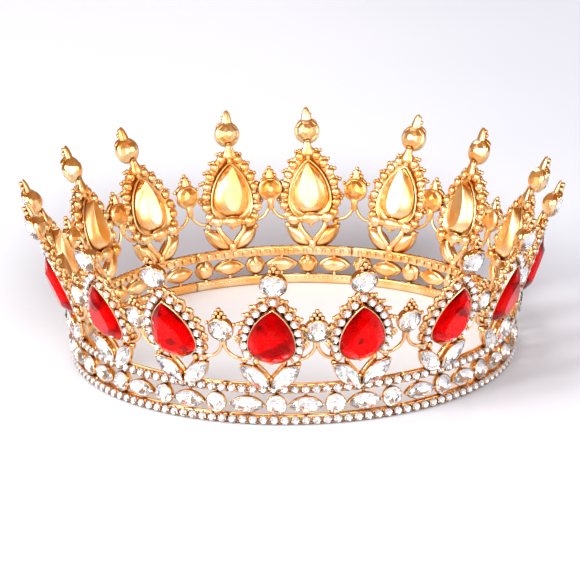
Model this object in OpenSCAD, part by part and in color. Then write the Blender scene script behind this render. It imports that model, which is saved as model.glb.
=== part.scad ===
// A full round crown in eight cast panels, set with red pears and clear stones.
// The crown stands on z = 0. Its axis is the z axis, and the middle of panel 1 faces -y.

/* [Ring] */
// Number of cast panels round the crown
panels = 8; // [8:1:8]
// Outer radius of the rails
ring_r = 75; // [72:1:78]
// Width of the fine seam between two panels
seam = 0.2; // [0.1:0.05:0.4]

/* [Rails] */
// Height of each rail
rail_h = 3.4; // [3:0.1:3.8]
// Thickness of each rail
rail_t = 2; // [1.6:0.1:2.4]
// Top edge of the upper rail
band_h = 14.1; // [13.8:0.1:14.4]

/* [Band settings] */
// Angle from one setting of the middle row to the next
band_pitch = 7.4; // [7.3:0.05:7.4]
// Angle of the first setting from the middle of its panel
band_first = -17.35; // [-17.4:0.05:-17.3]
// Length of a navette stone
navette_l = 11; // [10.6:0.1:11]
// Width of a navette stone
navette_w = 5; // [4.8:0.1:5.2]
// Diameter of a round stone in the band
band_round_d = 6.2; // [6:0.1:6.2]

/* [Spires] */
// Angle of each spire from the middle of its panel
spire_at = 11.25; // [11:0.05:11.4]
// Outward lean of the spires
spire_lean = 22.3; // [20:0.1:24]
// Height at which the lean of the spires starts
spire_z = 18; // [17.5:0.1:18.5]
// Length of a pear stone
pear_l = 22; // [21.6:0.1:22]
// Width of a pear stone
pear_w = 15.2; // [15:0.1:15.4]
// Diameter of a top stone
top_d = 8.6; // [8.2:0.1:8.8]
// Height of a spire above the start of its lean, along the slope
spire_h = 46.6; // [46:0.1:47]
// Diameter of the beads round a halo plate
bead_d = 2; // [1.8:0.1:2.1]

/* [Leaves] */
// Length of a leaf stone
leaf_l = 12.3; // [12:0.1:12.5]
// Width of a leaf stone
leaf_w = 5.3; // [5:0.1:5.5]
// Slope of the leaves
leaf_slope = 42; // [40:1:44]
// Outward lean of the leaves
leaf_lean = 9; // [6:1:12]

/* [Elements between the spires] */
// Diameter of a between stone
between_d = 8; // [7.6:0.1:8.2]
// Outward lean of these elements
between_lean = 14; // [12:1:16]
// Height at which their lean starts
between_z = 16; // [15.5:0.1:16.5]
// Height of the stone above that, along the slope
between_y = 18.6; // [18:0.1:19]
// Radius of the curved arms
arm_r = 5.5; // [5.3:0.1:5.7]

/* [Stone seats] */
// Gap between a stone and the wall of its seat
seat_gap = 0.12; // [0.1:0.01:0.2]
// Metal round a small stone
rim_t = 0.55; // [0.5:0.05:0.6]
// Metal round a pear stone
pear_rim = 0.8; // [0.7:0.05:0.9]

/* [Hidden] */
$fn = 48;
panel_angle = 360 / panels;
seam_angle = seam / ring_r * 180 / PI;
half_panel = (panel_angle - seam_angle) / 2;
spires = [-spire_at, spire_at];
halves = [-1, 1];
overlap = 0.1;

// Rails and the middle row between them
rail_edge = 0.5;
row_z = band_h / 2;
row_out = -0.2;
band_kinds = 6;
strut_w = 1.4;
strut_back = 1.6;
strut_t = 1.2;

// Settings: depths are measured from the plane of the setting, + outward
rim_top = 1.1;
wall_foot = 1.2;
cup_dome = 0.38;
seat_floor = 0.7;
oval_back = 2.6;
oval_back_r = 4.6;
collar_t = 0.9;
collar_h = 1.4;

// Pear settings: heights are measured up the spire from the start of its lean
spire_out = -0.8;
pear_y = 12.1;
pear_low = 6.8;
pear_top = pear_l - pear_low;
pear_tip = 1.6;
pear_step = 15;
pear_front = 1.9;
pear_back = 1.2;
pear_floor = 0.6;
pear_dome = 3.8;
pear_dome_r = 19;
pear_dome_y = 2;

// Halo plate round the upper part of a pear setting
halo_y = 14.5;
halo_w = 19.2;
halo_top = 17.1;
halo_rim = 1.7;
halo_foot = 11;
halo_t = 1.9;
halo_front = 0.8;

// Top of a spire
top_y = 37.8;
top_out = 0.5;
top_collar = 3.2;
neck_y = 28;
neck_w = 2.6;
neck_h = 6.5;
neck_t = 1.5;
tip_l = 5.2;

// Foot of a spire
shoulder_x = 7.4;
shoulder_y = 5.9;
shoulder_d = 3.8;
shoulder_low = [1.3, -1.6];
shoulder_low_d = 3;
foot_bead = [0, 3.7];
foot_bead_d = 3.2;

// Leaves
leaf_z = 12.4;
leaf_out = 0.3;
leaf_x = 5;
leaf_y = 4.9;

// Elements between the spires
between_out = 0.2;
between_collar = 2;
between_tip_y = 8.2;
between_tip_l = 4.5;
arm_x = 6.2;
arm_y = 13.3;
arm_t = 1.1;
arm_depth = 1.4;
arm_past = 25;
stem_w = 2;
stem_t = 1.6;

// Cut stones
stone_z = 0.75;
stone_keel = 1.3;
oval_crown = 1.1;
round_crown = 0.2;
pear_z = 1.2;
pear_crown = 2.2;
pear_keel = 1.6;

// Beads on one side of a halo plate: across, up the spire, diameter
halo_beads = [
    [3.6, 31.8, bead_d], [5.9, 30.1, bead_d],
    [7.2, 28.2, bead_d], [8.6, 26.3, bead_d],
    [9.5, 24.2, bead_d], [10.4, 21.9, bead_d],
    [10.9, 19.6, bead_d], [10.3, 13.6, 3],
];

// Beads of a finial over its stone: across, up the spire, diameter
finial_beads = [[-3, 42, 1.9], [-1.7, 43.2, 2], [0, 43.4, 2], [1.7, 43.2, 2], [3, 42, 1.9], [0, 45.2, 2.1]];

// Beads over a between stone: across, up from the stone, diameter
trefoil_beads = [[-1.5, 5, 1.9], [1.5, 5, 1.9], [0, 6.4, 2], [-4.8, 2.4, 1.6], [4.8, 2.4, 1.6]];

// Radius of the two arcs that make a pointed oval of length l and width w
function oval_r(l, w) = (l * l + w * w) / (4 * w);

// A point of a pear outline at angle a: round below, two long arcs that meet in a tip above
function pear_point(a, w, low, top) = a >= 180
    ? [w / 2 * cos(a), low * sin(a)]
    : let (
        r = (top * top + w * w / 4) / w,
        side = a <= 90 ? 1 : -1,
        t = (a <= 90 ? a : 180 - a) / 90 * asin(top / r)
    ) [side * (w / 2 - r + r * cos(t)), r * sin(t)];

// A point of a pointed oval that lies along x
function oval_point(a, l, w) =
    let (
        r = oval_r(l, w),
        up = a <= 180 ? 1 : -1,
        b = a <= 180 ? a : a - 180,
        t = (90 - b) / 90 * asin(l / 2 / r)
    ) [up * r * sin(t), up * (w / 2 - r + r * cos(t))];

function round_point(a, d) = [d / 2 * cos(a), d / 2 * sin(a)];

function band_angle(i) = band_first + i * band_pitch;

// Places its children on the ring at an angle and a height, x to the right, y up and z outward
module on_ring(at, z, lean = 0, out = 0) {
    rotate([0, 0, at]) translate([0, -ring_r - out, z]) rotate([90 + lean, 0, 0]) children();
}

// Spires of one panel lean in one direction, that of the middle of the panel
module on_spire(at) {
    foot = (ring_r + spire_out) * cos(at);
    translate([0, -foot, spire_z]) rotate([spire_lean, 0, 0]) translate([0, foot, 0])
        rotate([0, 0, at]) translate([0, -ring_r - spire_out, 0]) rotate([90, 0, 0]) children();
}

module on_leaf(at, side) {
    on_ring(at, leaf_z, leaf_lean, leaf_out)
        translate([side * leaf_x, leaf_y, 0]) rotate([0, 0, side * leaf_slope]) children();
}

module on_between(at) {
    on_ring(at, between_z, between_lean, between_out) children();
}

module on_band(i) {
    on_ring(band_angle(i), row_z, 0, row_out) children();
}

module bead(x, y, d) {
    translate([x, y, 0]) sphere(d = d);
}

module pear_outline(w, low, top) {
    polygon([for (a = [0:pear_step:359]) pear_point(a, w, low, top)]);
}

// A pear grown by a margin on every side, and by more at its tip
module grown_pear(margin) {
    pear_outline(pear_w + 2 * margin, pear_low + margin, pear_top + pear_tip * margin);
}

module oval(l, w) {
    r = oval_r(l, w);
    intersection() {
        translate([0, w / 2 - r]) circle(r);
        translate([0, r - w / 2]) circle(r);
    }
}

// Solid setting under a pointed oval stone, with a back that is domed along its length
module oval_setting(l, w) {
    below = oval_back + 1;
    intersection() {
        translate([0, 0, -below]) linear_extrude(below + rim_top) oval(l + 2.2 * rim_t, w + 2 * rim_t);
        translate([0, 0, oval_back_r - oval_back]) rotate([0, 90, 0])
            cylinder(r = oval_back_r, h = 2 * l, center = true);
    }
}

module oval_seat(l, w) {
    translate([0, 0, -seat_floor]) linear_extrude(3) oval(l + 2 * seat_gap, w + 2 * seat_gap);
}

// Round cup with a spherical back
module round_setting(d) {
    r = d / 2 + rim_t;
    dome = cup_dome * r;
    dome_r = (r * r + dome * dome) / (2 * dome);
    low = dome + wall_foot;
    rotate_extrude() intersection() {
        translate([0, dome_r - low]) circle(dome_r);
        translate([0, -low - 1]) square([r, low + 1 + rim_top]);
    }
    translate([0, 0, -wall_foot - overlap]) cylinder(r = r, h = rim_top + wall_foot + overlap);
}

module round_seat(d) {
    translate([0, 0, -seat_floor]) cylinder(d = d + 2 * seat_gap, h = 3);
}

// Arc of metal over the top of a round stone, down to the height foot
module collar(d, foot) {
    r = d / 2 + rim_t - 2 * overlap;
    translate([0, 0, collar_t - collar_h]) linear_extrude(collar_h) difference() {
        circle(r + collar_t);
        circle(r);
        translate([-2 * r, foot - 4 * r]) square(4 * r);
    }
}

module rail(z) {
    rotate([0, 0, -90 - half_panel]) rotate_extrude(angle = 2 * half_panel)
        translate([ring_r - rail_t, z])
            polygon([
                [rail_edge, 0], [rail_t - rail_edge, 0], [rail_t, rail_edge], [rail_t, rail_h - rail_edge],
                [rail_t - rail_edge, rail_h], [rail_edge, rail_h], [0, rail_h - rail_edge], [0, rail_edge]
            ]);
}

module rails() {
    rail(0);
    rail(band_h - rail_h);
}

// Navette settings on struts that reach into both rails, and round settings between them
module band_settings() {
    strut_h = band_h - 2 * rail_h + 3;
    for (i = [0:band_kinds - 1]) on_band(i) {
        if (i % 2 == 0) {
            oval_setting(navette_l, navette_w);
            translate([-strut_w / 2, -strut_h / 2, -strut_back]) cube([strut_w, strut_h, strut_t]);
        } else round_setting(band_round_d);
    }
}

module band_seats() {
    for (i = [0:band_kinds - 1]) on_band(i) {
        if (i % 2 == 0) oval_seat(navette_l, navette_w);
        else round_seat(band_round_d);
    }
}

// Deep pear setting with a domed back
module pear_setting() {
    translate([0, pear_y, 0]) {
        translate([0, 0, -pear_back]) linear_extrude(pear_back + pear_front) grown_pear(pear_rim);
        intersection() {
            translate([0, 0, -pear_dome - 1]) linear_extrude(pear_dome + 2 * overlap) grown_pear(overlap);
            translate([0, pear_dome_y, pear_dome_r - pear_dome]) sphere(r = pear_dome_r);
        }
    }
}

module pear_seat() {
    translate([0, pear_y, -pear_floor]) linear_extrude(4) grown_pear(seat_gap);
}

// Plate that holds the halo, with its beads
module halo_plate() {
    translate([0, 0, halo_front - halo_t]) linear_extrude(halo_t) intersection() {
        translate([0, halo_y])
            pear_outline(halo_w + 2 * halo_rim, halo_y - pear_y + pear_low, halo_top + 1.3 * halo_rim);
        translate([-halo_w, halo_foot]) square([2 * halo_w, 2 * pear_l]);
    }
    for (s = halves) for (b = halo_beads) bead(s * b[0], b[1], b[2]);
}

// One pair of pads that joins a pear setting to its leaf and to a curved arm
module shoulder(side, grow = 0) {
    bead(side * shoulder_x, shoulder_y, shoulder_d + grow);
    bead(side * (shoulder_x + shoulder_low[0]), shoulder_y + shoulder_low[1], shoulder_low_d + grow);
}

module spire_foot() {
    for (s = halves) shoulder(s);
    bead(foot_bead[0], foot_bead[1], foot_bead_d);
}

// Neck behind the top stone, and the beaded point above it
module finial() {
    translate([-neck_w / 2, neck_y, -0.9]) cube([neck_w, neck_h, neck_t]);
    translate([0, spire_h, top_out]) rotate([90, 0, 0]) cylinder(r1 = 0.3, r2 = 1.5, h = tip_l);
    translate([0, 0, top_out]) for (b = finial_beads) bead(b[0], b[1], b[2]);
}

module spire() {
    pear_setting();
    halo_plate();
    spire_foot();
    finial();
    translate([0, top_y, top_out]) {
        round_setting(top_d);
        collar(top_d, top_collar);
    }
}

module leaves(at) {
    for (s = halves) on_leaf(at, s) oval_setting(leaf_l, leaf_w);
}

// Quarter ring from the stem down to the foot of a spire
module arm() {
    outer_r = arm_r + arm_t / 2;
    translate([arm_x, arm_y, -arm_depth / 2]) linear_extrude(arm_depth) difference() {
        circle(outer_r);
        circle(outer_r - arm_t);
        translate([-2 * outer_r, 0]) square(4 * outer_r);
        rotate(arm_past) translate([0, -2 * outer_r]) square(2 * outer_r);
    }
}

// Round cup with three beads over it, a stem and two curved arms
module between_element() {
    translate([0, between_y, 0]) {
        round_setting(between_d);
        collar(between_d, between_collar);
        for (b = trefoil_beads) bead(b[0], b[1], b[2]);
        translate([0, between_tip_y, 0]) rotate([90, 0, 0]) cylinder(r1 = 0.3, r2 = 1.3, h = between_tip_l);
    }
    translate([-stem_w / 2, arm_y - 1.6, -stem_t / 2]) cube([stem_w, between_y - arm_y - 2, stem_t]);
    arm();
    mirror([1, 0, 0]) arm();
}

module panel_metal() {
    rails();
    band_settings();
    for (at = spires) {
        leaves(at);
        on_spire(at) spire();
    }
    on_between(0) between_element();
    on_between(panel_angle / 2) between_element();
}

module panel_seats() {
    band_seats();
    for (at = spires) {
        for (s = halves) on_leaf(at, s) oval_seat(leaf_l, leaf_w);
        on_spire(at) {
            pear_seat();
            translate([0, top_y, top_out]) round_seat(top_d);
        }
    }
    for (at = [0, panel_angle / 2]) on_between(at) translate([0, between_y, 0]) round_seat(between_d);
}

// Clear space for the foot of the next panel's first spire
module seam_relief() {
    rotate([0, 0, panel_angle]) on_spire(-spire_at) shoulder(-1, 2 * seam);
}

module crown_panel(p) {
    color("goldenrod") rotate([0, 0, (p - 1) * panel_angle]) difference() {
        panel_metal();
        panel_seats();
        seam_relief();
    }
}

// A cut stone: girdle points come as rim, with a table, star, kite and girdle facets, and a keel below
module cut_stone(rim, crown_h, depth, girdle_h = 0.4, table = 0.58) {
    n = len(rim) / 2;
    mid = 0.82;
    mid_h = 0.55 * crown_h;
    points = concat(
        [for (k = [0:n - 1]) [rim[2 * k][0] * table, rim[2 * k][1] * table, girdle_h + crown_h]],
        [for (k = [0:n - 1]) [rim[2 * k + 1][0] * mid, rim[2 * k + 1][1] * mid, girdle_h + mid_h]],
        [for (q = rim) [q[0], q[1], girdle_h]],
        [for (q = rim) [q[0], q[1], 0]],
        [[0, 0, -depth]]
    );
    top = 2 * n;
    low = 4 * n;
    faces = concat(
        [[for (k = [n - 1:-1:0]) k]],
        [for (k = [0:n - 1]) [k, (k + 1) % n, n + k]],
        [for (k = [0:n - 1]) [k, n + k, top + 2 * k]],
        [for (k = [0:n - 1]) [k, top + 2 * k, n + (k + n - 1) % n]],
        [for (k = [0:n - 1]) [n + k, top + 2 * k + 1, top + 2 * k]],
        [for (k = [0:n - 1]) [n + k, top + (2 * k + 2) % (2 * n), top + 2 * k + 1]],
        [for (k = [0:2 * n - 1]) [top + k, top + (k + 1) % (2 * n), low + k]],
        [for (k = [0:2 * n - 1]) [top + (k + 1) % (2 * n), low + (k + 1) % (2 * n), low + k]],
        [for (k = [0:2 * n - 1]) [low + k, low + (k + 1) % (2 * n), low + 2 * n]]
    );
    polyhedron(points, faces);
}

module round_stone(d) {
    translate([0, 0, stone_z]) cut_stone([for (k = [0:15]) round_point(k * 22.5, d)], round_crown * d, stone_keel);
}

module oval_stone(l, w) {
    translate([0, 0, stone_z]) cut_stone([for (k = [0:11]) oval_point(k * 30, l, w)], oval_crown, stone_keel);
}

module pear_stone(s) {
    at = spires[(s - 1) % 2];
    rim = [for (k = [0:19]) pear_point(k * 18, pear_w, pear_low, pear_top)];
    color("crimson") rotate([0, 0, floor((s - 1) / 2) * panel_angle]) on_spire(at)
        translate([0, pear_y, pear_z]) cut_stone(rim, pear_crown, pear_keel, girdle_h = 0.5, table = 0.62);
}

module top_stone(s) {
    at = spires[(s - 1) % 2];
    color("whitesmoke") rotate([0, 0, floor((s - 1) / 2) * panel_angle]) on_spire(at)
        translate([0, top_y, top_out]) round_stone(top_d);
}

module every_panel() {
    for (p = [1:panels]) rotate([0, 0, (p - 1) * panel_angle]) children();
}

module between_stones() {
    color("whitesmoke") every_panel() for (at = [0, panel_angle / 2])
        on_between(at) translate([0, between_y, 0]) round_stone(between_d);
}

module leaf_stones() {
    color("whitesmoke") every_panel() for (at = spires, s = halves) on_leaf(at, s) oval_stone(leaf_l, leaf_w);
}

module navette_stones() {
    color("whitesmoke") every_panel() for (i = [0:2:band_kinds - 1])
        on_band(i) oval_stone(navette_l, navette_w);
}

module band_round_stones() {
    color("whitesmoke") every_panel() for (i = [1:2:band_kinds - 1])
        on_band(i) round_stone(band_round_d);
}

for (p = [1:panels]) crown_panel(p);
for (s = [1:2 * panels]) pear_stone(s);
for (s = [1:2 * panels]) top_stone(s);
between_stones();
leaf_stones();
navette_stones();
band_round_stones();
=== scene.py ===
# A full round crown of cast gold panels set with red pears and clear rhinestones
from math import asin, atan2, cos, degrees, pi, radians, sin

import bmesh
import bpy
import numpy as np
from mathutils import Matrix, Vector


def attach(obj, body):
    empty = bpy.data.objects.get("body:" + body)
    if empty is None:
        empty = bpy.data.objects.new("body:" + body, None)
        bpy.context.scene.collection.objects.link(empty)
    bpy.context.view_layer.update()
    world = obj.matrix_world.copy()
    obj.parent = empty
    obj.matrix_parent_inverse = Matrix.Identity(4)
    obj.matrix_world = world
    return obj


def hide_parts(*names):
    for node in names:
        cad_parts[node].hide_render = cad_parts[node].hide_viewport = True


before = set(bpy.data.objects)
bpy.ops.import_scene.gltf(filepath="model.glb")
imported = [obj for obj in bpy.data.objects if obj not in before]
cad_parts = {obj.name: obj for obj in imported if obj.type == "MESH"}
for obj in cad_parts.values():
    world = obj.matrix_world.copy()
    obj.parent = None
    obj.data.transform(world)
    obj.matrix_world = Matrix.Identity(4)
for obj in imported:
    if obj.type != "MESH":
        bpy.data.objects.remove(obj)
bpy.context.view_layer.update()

mm = 0.001  # sizes are real ones in metres; rows of points and radii are in mm
halves = (-1, 1)

# Sides round a wire or a turned form, and sides and rings of a ball
sides = {
    "wire": 8, "bar": 10, "stem": 12, "tip": 14, "web": 16, "turned": 20, "skirt": 32,
    "ball": (12, 8), "grip": (8, 5), "knob": (16, 10), "bump": (20, 12),
}

crown = {
    "panels": 8,
    "ringR": 75 * mm,
    "seam": 0.2 * mm,
    "spireAt": 11.25,  # degrees from the middle of a panel
}
panelAngle = 360 / crown["panels"]
spireAngles = (-crown["spireAt"], crown["spireAt"])
betweenAngles = (0, panelAngle / 2)


# Places: x to the right, y up and z outward of the crown
def turned(angle):
    return Matrix.Rotation(radians(angle), 4, "Z")


def moved(x, y, z=0.0):
    return Matrix.Translation((x, y, z))


def onRing(at, z, lean=0.0, out=0.0):
    stood = Matrix.Rotation(radians(90 + lean), 4, "X")
    return turned(at) @ moved(0, -crown["ringR"] - out, z) @ stood


# Shapes: points, faces, the material slot of each face and whether it is smooth
def shapeOf(points, faces, slots=0, smooth=True):
    slots = slots if isinstance(slots, list) else [slots] * len(faces)
    points = np.array([tuple(p) for p in points], float)
    return {"points": points, "faces": faces, "slots": slots, "smooth": [smooth] * len(faces)}


def placed(shape, place):
    m = np.array(place)
    return {**shape, "points": shape["points"] @ m[:3, :3].T + m[:3, 3]}


def joined(shapes):
    faces, start = [], 0
    for shape in shapes:
        faces += [tuple(v + start for v in face) for face in shape["faces"]]
        start += len(shape["points"])
    return {
        "points": np.concatenate([shape["points"] for shape in shapes]),
        "faces": faces,
        "slots": [s for shape in shapes for s in shape["slots"]],
        "smooth": [s for shape in shapes for s in shape["smooth"]],
    }


def everyPanel(shape):
    return joined([placed(shape, turned(p * panelAngle)) for p in range(crown["panels"])])


def flattened(shape, share, out):
    # scales a shape from back to front, then moves it outward
    shape["points"][:, 2] = shape["points"][:, 2] * share + out
    return shape


def skin(rows, caps=True):
    # joins sections that have the same number of points and closes both ends
    count = len(rows[0])
    faces = []
    for i in range(len(rows) - 1):
        a, b = i * count, (i + 1) * count
        faces += [(a + k, a + (k + 1) % count, b + (k + 1) % count, b + k) for k in range(count)]
    if caps:
        last = (len(rows) - 1) * count
        faces += [tuple(reversed(range(count))), tuple(range(last, last + count))]
    return shapeOf([p for row in rows for p in row], faces)


def lathe(profile, steps):
    # turns a profile of (radius, height) that starts and ends on the axis
    turns = [2 * pi * k / steps for k in range(steps)]
    rows = [[(r * cos(t), r * sin(t), z) for t in turns] for r, z in profile[1:-1]]
    shape = skin(rows, caps=False)
    last = (len(rows) - 1) * steps
    points = np.concatenate([shape["points"], [(0, 0, profile[0][1]), (0, 0, profile[-1][1])]])
    low, high = len(points) - 2, len(points) - 1
    faces = shape["faces"] + [(low, (k + 1) % steps, k) for k in range(steps)]
    faces += [(last + k, last + (k + 1) % steps, high) for k in range(steps)]
    return shapeOf(points, faces)


def ball(rx, ry=None, rz=None, count=sides["ball"]):
    steps, rings = count
    shape = lathe([(sin(pi * k / rings), -cos(pi * k / rings)) for k in range(rings + 1)], steps)
    shape["points"] = shape["points"] * np.array([rx, ry or rx, rz or rx])
    return shape


def beadAt(x, y, d, z=0.0):
    return placed(ball(d / 2 * mm), moved(x * mm, y * mm, z * mm))


def eggAt(x, y, z, width, height, depth, count=sides["ball"]):
    egg = ball(width * mm, height * mm, depth * mm, count)
    return placed(egg, moved(x * mm, y * mm, z * mm))


def tube(path, radii, steps=sides["wire"]):
    # round wire along a path; the first and last radius close it
    path = [Vector(p) for p in path]
    turns = [2 * pi * k / steps for k in range(steps)]
    side, rows = None, []
    for i, p in enumerate(path):
        ahead = (path[min(i + 1, len(path) - 1)] - path[max(i - 1, 0)]).normalized()
        side = ahead.orthogonal() if side is None else side - ahead * side.dot(ahead)
        side = side.normalized()
        other = ahead.cross(side)
        rows.append([p + (side * cos(t) + other * sin(t)) * radii[i] for t in turns])
    return skin(rows)


def wire(rows, steps=sides["wire"], side=1):
    # round wire through rows of up, out and radius, or of across, up, out and radius
    rows = [(0, *row)[-4:] for row in rows]
    path = [(side * x * mm, y * mm, z * mm) for x, y, z, r in rows]
    return tube(path, [r * mm for x, y, z, r in rows], steps)


def arcPath(cx, cy, r, start, end, steps):
    turns = [radians(start + (end - start) * k / steps) for k in range(steps + 1)]
    return [(cx + r * cos(t), cy + r * sin(t), 0.0) for t in turns]


# Outlines run counter-clockwise and are made for a margin outside the stone
ovalTip = 1.1  # share of a margin by which the points of an oval move out


def roundOutline(d, steps=32):
    def at(margin):
        r = d / 2 + margin
        turns = [2 * pi * k / steps for k in range(steps)]
        return [(r * cos(t), r * sin(t)) for t in turns]
    return at


def ovalOutline(size, steps=40):
    def at(margin):
        length, width = size[0] + 2 * ovalTip * margin, size[1] + 2 * margin
        r = (length ** 2 + width ** 2) / (4 * width)
        reach = asin(length / 2 / r)
        turns = [reach * (1 - 4 * k / steps) for k in range(steps // 2)]
        middle = width / 2 - r
        return [(up * r * sin(t), up * (middle + r * cos(t))) for up in (1, -1) for t in turns]
    return at


pear = {
    "y": 12.1 * mm,  # its widest point above the foot of the spire
    "width": 15.2 * mm,
    "low": 6.8 * mm,
    "top": 15.2 * mm,
    "tip": 1.6,  # share of a margin by which the tip moves out
    # dome behind it: share of its width, of its height, lift, height
    "dome": [
        (0.86, 0.85, 1.2, -1.2), (0.87, 0.86, 1.2, -1.7), (0.85, 0.84, 1.25, -2.05),
        (0.64, 0.79, 1.75, -3.2), (0.42, 0.75, 2.3, -4.15), (0.36, 0.73, 2.45, -4.3),
    ],
}
pearPlace = moved(0, pear["y"])


def pearPoint(turn, margin):
    # turn 0 is the widest point on the right, 0.25 the tip and 0.75 the foot
    width, low = pear["width"] + 2 * margin, pear["low"] + margin
    top = pear["top"] + pear["tip"] * margin
    if not 0 <= turn <= 0.5:
        return width / 2 * cos(2 * pi * turn), low * sin(2 * pi * turn)
    r = (top ** 2 + width ** 2 / 4) / width
    side = 1 if turn <= 0.25 else -1
    t = asin(top / r) * (turn if turn <= 0.25 else 0.5 - turn) * 4
    return side * (width / 2 - r + r * cos(t)), r * sin(t)


def pearOutline(steps=56):
    return lambda margin: [pearPoint(k / steps, margin) for k in range(steps)]


def pearBack():
    # straight bevels round a flat face that runs to the tip
    rim = pearOutline()(0)
    rows = []
    for across, along, lift, z in pear["dome"]:
        rows.append([(x * across, y * along + lift * mm, z * mm) for x, y in rim])
    shape = skin(rows)
    shape["smooth"][-1] = False
    return shape


# Settings, with rows of their backs: share of the rim, height
cup = {
    "rim": 0.32 * mm,
    "inner": 0.03 * mm,
    "foot": -0.3 * mm,
    "front": 1.05 * mm,
    "roll": 0.22 * mm,
    "seat": -0.5 * mm,
    "well": -1.2 * mm,
    "wellShare": 0.6,
    "back": [(0.3, -1.35), (0.6, -1.35), (0.8, -1.3), (0.93, -1.15), (0.98, -0.85)],
}
smallCup = {
    **cup,
    "well": -1.9 * mm,
    "back": [
        (0.1, -2.8), (0.35, -2.7), (0.55, -2.4), (0.7, -1.9), (0.77, -1.3), (0.8, -1.0),
        (0.88, -0.85), (0.95, -0.6),
    ],
}
ovalCup = {
    **cup,
    "well": -1.5 * mm,
    "back": [
        (0.1, -2.55), (0.3, -2.45), (0.5, -2.2), (0.68, -1.8), (0.79, -1.35), (0.81, -1.0),
        (0.9, -0.95), (0.96, -0.7),
    ],
    "tipOut": 1.0 * mm,  # beads at its two points
}
pearCup = {
    "rim": 0.38 * mm,
    "inner": 0.02 * mm,
    "foot": -0.9 * mm,
    "front": 1.8 * mm,
    "roll": 0.26 * mm,
    "seat": -0.5 * mm,
    "well": -1.4 * mm,
    "wellShare": 0.6,
    "middle": (0, 3.2 * mm),
    "back": [(0.5, -1.5), (0.7, -1.5), (0.9, -1.35), (0.93, -1.75), (0.96, -1.85), (0.99, -1.6)],
}
rolledEdge = [(0, 1), (0.4, 0.2), (0.8, 0)]  # shares of the roll: inward, down
rolledInside = 0.6


def setting(outline, cut):
    # a closed cup round a stone: domed back, groove, flared wall, rolled front edge and a well
    across, along = cut.get("middle", (0, 0))

    def row(points, z, share=1):
        return [(across + (x - across) * share, along + (y - along) * share, z) for x, y in points]

    outer, inner = outline(cut["rim"]), outline(cut["inner"])
    rows = [row(outer, z * mm, share) for share, z in cut["back"]] + [row(outer, cut["foot"])]
    for inward, down in rolledEdge:
        edge = outline(cut["rim"] - cut["roll"] * inward)
        rows.append(row(edge, cut["front"] - cut["roll"] * down))
    rows.append(row(inner, cut["front"] - cut["roll"] * rolledInside))
    rows += [row(inner, cut["seat"]), row(inner, cut["well"], cut["wellShare"])]
    return skin(rows)


def tipBeads(length, r):
    return [placed(ball(r), moved(side * length * 0.5, 0, ovalCup["tipOut"])) for side in halves]


# Cut stones: table and star are shares of the rim, starHeight of the crown, underDeep of the keel
roundCut = {
    "z": 0.85 * mm,
    "girdle": 0.3 * mm,
    "crownShare": 0.19,  # of the diameter
    "keel": 1.9 * mm,
    "table": 0.56,
    "star": 0.82,
    "starHeight": 0.55,
    "under": 0.52,
    "underDeep": 0.6,
    "steps": 16,  # round the girdle
}
ovalCut = {**roundCut, "crown": 1.15 * mm}
pearCut = {
    "z": 1.35 * mm,
    "girdle": 0.4 * mm,
    "crown": 2.5 * mm,
    "keel": 2.4 * mm,
    "table": 0.58,
    "star": 0.84,
    "starHeight": 0.52,
    "under": 0.52,
    "underDeep": 0.6,
    "middle": (0, 2.2 * mm),
    "steps": 24,
}
smallCut = {
    **roundCut, "z": 0.66 * mm, "girdle": 0.12 * mm, "crown": 0.5 * mm, "keel": 0.55 * mm,
    "steps": 12,
}


def cutStone(rim, cut):
    # slot 0 is the glass, slot 1 the foil on the facets below the girdle
    n = len(rim) // 2
    bottom, girdle, keel = cut["z"], cut["z"] + cut["girdle"], cut["keel"]
    middle = cut.get("middle", (0, 0))

    def pulled(p, share, z):
        return middle[0] + (p[0] - middle[0]) * share, middle[1] + (p[1] - middle[1]) * share, z

    starZ = girdle + cut["starHeight"] * cut["crown"]
    points = [pulled(p, cut["table"], girdle + cut["crown"]) for p in rim[::2]]
    points += [pulled(p, cut["star"], starZ) for p in rim[1::2]]
    points += [pulled(p, 1, girdle) for p in rim] + [pulled(p, 1, bottom) for p in rim]
    points += [pulled(p, cut["under"], bottom - cut["underDeep"] * keel) for p in rim[1::2]]
    points.append((*middle, bottom - keel))
    star, high, low, under, point = n, 2 * n, 4 * n, 6 * n, 7 * n
    faces = [tuple(range(n))]
    for k in range(n):
        i, a, b, c = (k - 1) % n, 2 * k, 2 * k + 1, 2 * ((k + 1) % n)
        faces += [(k, star + k, (k + 1) % n), (star + i, high + a, star + k, k)]
        faces += [(high + a, high + b, star + k), (high + b, high + c, star + k)]
        faces += [(low + a, low + b, high + b, high + a), (low + b, low + c, high + c, high + b)]
    glassFaces = len(faces)
    for k in range(n):
        i, a, b, c = (k - 1) % n, 2 * k, 2 * k + 1, 2 * ((k + 1) % n)
        faces += [(low + b, low + a, under + k), (low + c, low + b, under + k)]
        faces += [(low + a, under + i, under + k), (under + i, point, under + k)]
    slots = [0] * glassFaces + [1] * (len(faces) - glassFaces)
    return shapeOf(points, faces, slots, smooth=False)


def roundStone(d, cut=roundCut):
    return cutStone(roundOutline(d, cut["steps"])(0), {"crown": cut["crownShare"] * d, **cut})


def ovalStone(size):
    return cutStone(ovalOutline(size, ovalCut["steps"])(0), ovalCut)


# Materials
def inputsOf(node, values):
    for key, value in values.items():
        node.inputs[key].default_value = value
    return node


def addNode(tree, kind, values=None, **settings):
    node = tree.nodes.new(kind)
    for key, value in settings.items():
        setattr(node, key, value)
    return inputsOf(node, values or {})


def mapped(tree, source, fromRange=(0.0, 1.0), toRange=(0.0, 1.0), **settings):
    (low, high), (start, end) = fromRange, toRange
    values = {"From Min": low, "From Max": high, "To Min": start, "To Max": end}
    node = addNode(tree, "ShaderNodeMapRange", values, **settings)
    tree.links.new(source, node.inputs["Value"])
    return node.outputs["Result"]


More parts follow.
